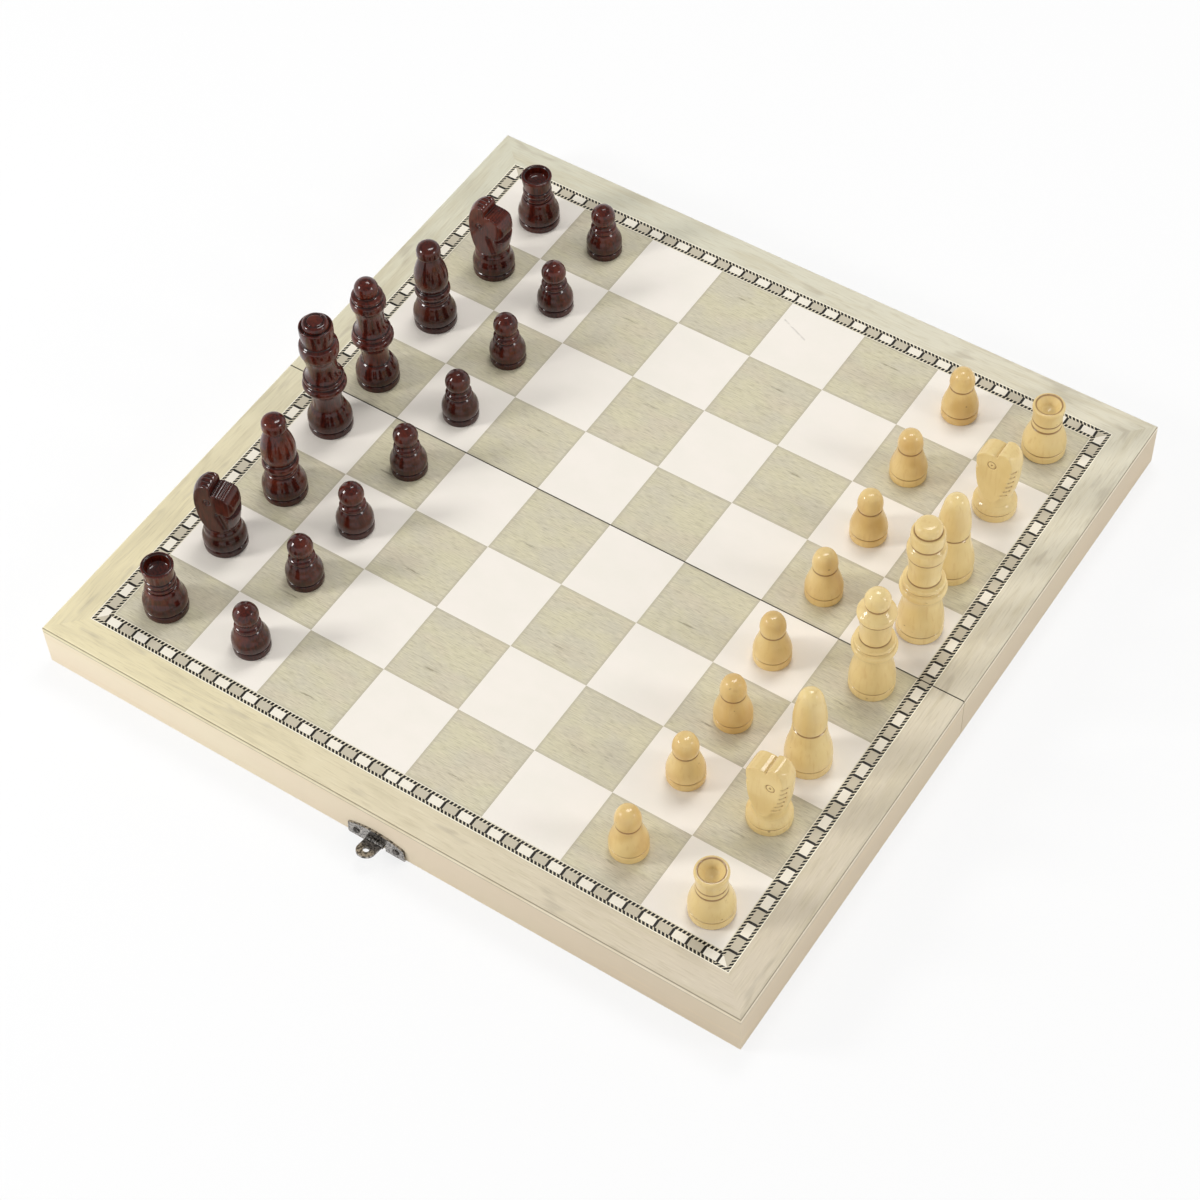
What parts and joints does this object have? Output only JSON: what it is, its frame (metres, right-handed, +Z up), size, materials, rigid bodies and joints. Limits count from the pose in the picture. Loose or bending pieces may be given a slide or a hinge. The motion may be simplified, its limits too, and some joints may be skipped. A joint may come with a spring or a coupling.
{
  "type": "games compendium box",
  "caption": "Folding wooden board box lying open with its playing surface up, a metal hasp on its side, and a full set of turned wooden chessmen standing on it.",
  "frame": {"origin": "middle of the underside, where the rims of the two halves meet at the fold", "axes": "+X along the fold towards the light men, +Y towards the far edge, +Z up from the playing surface"},
  "size_m": [0.29, 0.3027, 0.0795],
  "materials": {
    "printed_panel": "satin printed veneer",
    "wall_wood": "sanded",
    "plated_steel": "nickel plated",
    "fastener_steel": "plain",
    "dark_varnish": "glossy varnish",
    "light_varnish": "satin varnish"
  },
  "bodies": {
    "near_half": {"near_panel": "printed_panel", "near_outer_wall": "wall_wood", "near_fold_wall": "wall_wood", "near_left_wall": "wall_wood", "near_right_wall": "wall_wood", "left_hinge_near_leaf": "plated_steel", "left_hinge_pin": "fastener_steel", "right_hinge_near_leaf": "plated_steel", "right_hinge_pin": "fastener_steel", "near_hinge_screws": "fastener_steel", "clasp_plate": "plated_steel", "clasp_pin": "fastener_steel", "clasp_nails": "fastener_steel"},
    "far_half": {"far_panel": "printed_panel", "far_outer_wall": "wall_wood", "far_fold_wall": "wall_wood", "far_left_wall": "wall_wood", "far_right_wall": "wall_wood", "left_hinge_far_leaf": "plated_steel", "right_hinge_far_leaf": "plated_steel", "far_hinge_screws": "fastener_steel", "catch_plate": "plated_steel", "catch_nails": "fastener_steel"},
    "hasp": {"hasp": "plated_steel"},
    "dark_near_rook": {"dark_near_rook": "dark_varnish"},
    "dark_near_knight": {"dark_near_knight": "dark_varnish"},
    "dark_near_bishop": {"dark_near_bishop": "dark_varnish"},
    "dark_king": {"dark_king": "dark_varnish"},
    "dark_queen": {"dark_queen": "dark_varnish"},
    "dark_far_bishop": {"dark_far_bishop": "dark_varnish"},
    "dark_far_knight": {"dark_far_knight": "dark_varnish"},
    "dark_far_rook": {"dark_far_rook": "dark_varnish"},
    "dark_pawn_1": {"dark_pawn_1": "dark_varnish"},
    "dark_pawn_2": {"dark_pawn_2": "dark_varnish"},
    "dark_pawn_3": {"dark_pawn_3": "dark_varnish"},
    "dark_pawn_4": {"dark_pawn_4": "dark_varnish"},
    "dark_pawn_5": {"dark_pawn_5": "dark_varnish"},
    "dark_pawn_6": {"dark_pawn_6": "dark_varnish"},
    "dark_pawn_7": {"dark_pawn_7": "dark_varnish"},
    "dark_pawn_8": {"dark_pawn_8": "dark_varnish"},
    "light_near_rook": {"light_near_rook": "light_varnish"},
    "light_near_knight": {"light_near_knight": "light_varnish"},
    "light_near_bishop": {"light_near_bishop": "light_varnish"},
    "light_queen": {"light_queen": "light_varnish"},
    "light_king": {"light_king": "light_varnish"},
    "light_far_bishop": {"light_far_bishop": "light_varnish"},
    "light_far_knight": {"light_far_knight": "light_varnish"},
    "light_far_rook": {"light_far_rook": "light_varnish"},
    "light_pawn_1": {"light_pawn_1": "light_varnish"},
    "light_pawn_2": {"light_pawn_2": "light_varnish"},
    "light_pawn_3": {"light_pawn_3": "light_varnish"},
    "light_pawn_4": {"light_pawn_4": "light_varnish"},
    "light_pawn_5": {"light_pawn_5": "light_varnish"},
    "light_pawn_6": {"light_pawn_6": "light_varnish"},
    "light_pawn_7": {"light_pawn_7": "light_varnish"},
    "light_pawn_8": {"light_pawn_8": "light_varnish"}
  },
  "joints": [
    {"name": "fold", "type": "hinge", "parent": "near_half", "child": "far_half", "pos_m": [0, 0, 0], "axis": [-1, 0, 0], "range_deg": [0, 180]},
    {"name": "hasp_turn", "type": "hinge", "parent": "near_half", "child": "hasp", "pos_m": [0, -0.14625, 0.004], "axis": [-1, 0, 0], "range_deg": [-105, 60]},
    {"name": "lift_dark_near_rook", "type": "slide", "parent": "near_half", "child": "dark_near_rook", "axis": [0, 0, 1], "range_m": [0, 0.08]},
    {"name": "lift_dark_near_knight", "type": "slide", "parent": "near_half", "child": "dark_near_knight", "axis": [0, 0, 1], "range_m": [0, 0.08]},
    {"name": "lift_dark_near_bishop", "type": "slide", "parent": "near_half", "child": "dark_near_bishop", "axis": [0, 0, 1], "range_m": [0, 0.08]},
    {"name": "lift_dark_king", "type": "slide", "parent": "near_half", "child": "dark_king", "axis": [0, 0, 1], "range_m": [0, 0.08]},
    {"name": "lift_dark_queen", "type": "slide", "parent": "far_half", "child": "dark_queen", "axis": [0, 0, 1], "range_m": [0, 0.08]},
    {"name": "lift_dark_far_bishop", "type": "slide", "parent": "far_half", "child": "dark_far_bishop", "axis": [0, 0, 1], "range_m": [0, 0.08]},
    {"name": "lift_dark_far_knight", "type": "slide", "parent": "far_half", "child": "dark_far_knight", "axis": [0, 0, 1], "range_m": [0, 0.08]},
    {"name": "lift_dark_far_rook", "type": "slide", "parent": "far_half", "child": "dark_far_rook", "axis": [0, 0, 1], "range_m": [0, 0.08]},
    {"name": "lift_dark_pawn_1", "type": "slide", "parent": "near_half", "child": "dark_pawn_1", "axis": [0, 0, 1], "range_m": [0, 0.08]},
    {"name": "lift_dark_pawn_2", "type": "slide", "parent": "near_half", "child": "dark_pawn_2", "axis": [0, 0, 1], "range_m": [0, 0.08]},
    {"name": "lift_dark_pawn_3", "type": "slide", "parent": "near_half", "child": "dark_pawn_3", "axis": [0, 0, 1], "range_m": [0, 0.08]},
    {"name": "lift_dark_pawn_4", "type": "slide", "parent": "near_half", "child": "dark_pawn_4", "axis": [0, 0, 1], "range_m": [0, 0.08]},
    {"name": "lift_dark_pawn_5", "type": "slide", "parent": "far_half", "child": "dark_pawn_5", "axis": [0, 0, 1], "range_m": [0, 0.08]},
    {"name": "lift_dark_pawn_6", "type": "slide", "parent": "far_half", "child": "dark_pawn_6", "axis": [0, 0, 1], "range_m": [0, 0.08]},
    {"name": "lift_dark_pawn_7", "type": "slide", "parent": "far_half", "child": "dark_pawn_7", "axis": [0, 0, 1], "range_m": [0, 0.08]},
    {"name": "lift_dark_pawn_8", "type": "slide", "parent": "far_half", "child": "dark_pawn_8", "axis": [0, 0, 1], "range_m": [0, 0.08]},
    {"name": "lift_light_near_rook", "type": "slide", "parent": "near_half", "child": "light_near_rook", "axis": [0, 0, 1], "range_m": [0, 0.08]},
    {"name": "lift_light_near_knight", "type": "slide", "parent": "near_half", "child": "light_near_knight", "axis": [0, 0, 1], "range_m": [0, 0.08]},
    {"name": "lift_light_near_bishop", "type": "slide", "parent": "near_half", "child": "light_near_bishop", "axis": [0, 0, 1], "range_m": [0, 0.08]},
    {"name": "lift_light_queen", "type": "slide", "parent": "near_half", "child": "light_queen", "axis": [0, 0, 1], "range_m": [0, 0.08]},
    {"name": "lift_light_king", "type": "slide", "parent": "far_half", "child": "light_king", "axis": [0, 0, 1], "range_m": [0, 0.08]},
    {"name": "lift_light_far_bishop", "type": "slide", "parent": "far_half", "child": "light_far_bishop", "axis": [0, 0, 1], "range_m": [0, 0.08]},
    {"name": "lift_light_far_knight", "type": "slide", "parent": "far_half", "child": "light_far_knight", "axis": [0, 0, 1], "range_m": [0, 0.08]},
    {"name": "lift_light_far_rook", "type": "slide", "parent": "far_half", "child": "light_far_rook", "axis": [0, 0, 1], "range_m": [0, 0.08]},
    {"name": "lift_light_pawn_1", "type": "slide", "parent": "near_half", "child": "light_pawn_1", "axis": [0, 0, 1], "range_m": [0, 0.08]},
    {"name": "lift_light_pawn_2", "type": "slide", "parent": "near_half", "child": "light_pawn_2", "axis": [0, 0, 1], "range_m": [0, 0.08]},
    {"name": "lift_light_pawn_3", "type": "slide", "parent": "near_half", "child": "light_pawn_3", "axis": [0, 0, 1], "range_m": [0, 0.08]},
    {"name": "lift_light_pawn_4", "type": "slide", "parent": "near_half", "child": "light_pawn_4", "axis": [0, 0, 1], "range_m": [0, 0.08]},
    {"name": "lift_light_pawn_5", "type": "slide", "parent": "far_half", "child": "light_pawn_5", "axis": [0, 0, 1], "range_m": [0, 0.08]},
    {"name": "lift_light_pawn_6", "type": "slide", "parent": "far_half", "child": "light_pawn_6", "axis": [0, 0, 1], "range_m": [0, 0.08]},
    {"name": "lift_light_pawn_7", "type": "slide", "parent": "far_half", "child": "light_pawn_7", "axis": [0, 0, 1], "range_m": [0, 0.08]},
    {"name": "lift_light_pawn_8", "type": "slide", "parent": "far_half", "child": "light_pawn_8", "axis": [0, 0, 1], "range_m": [0, 0.08]}
  ]
}
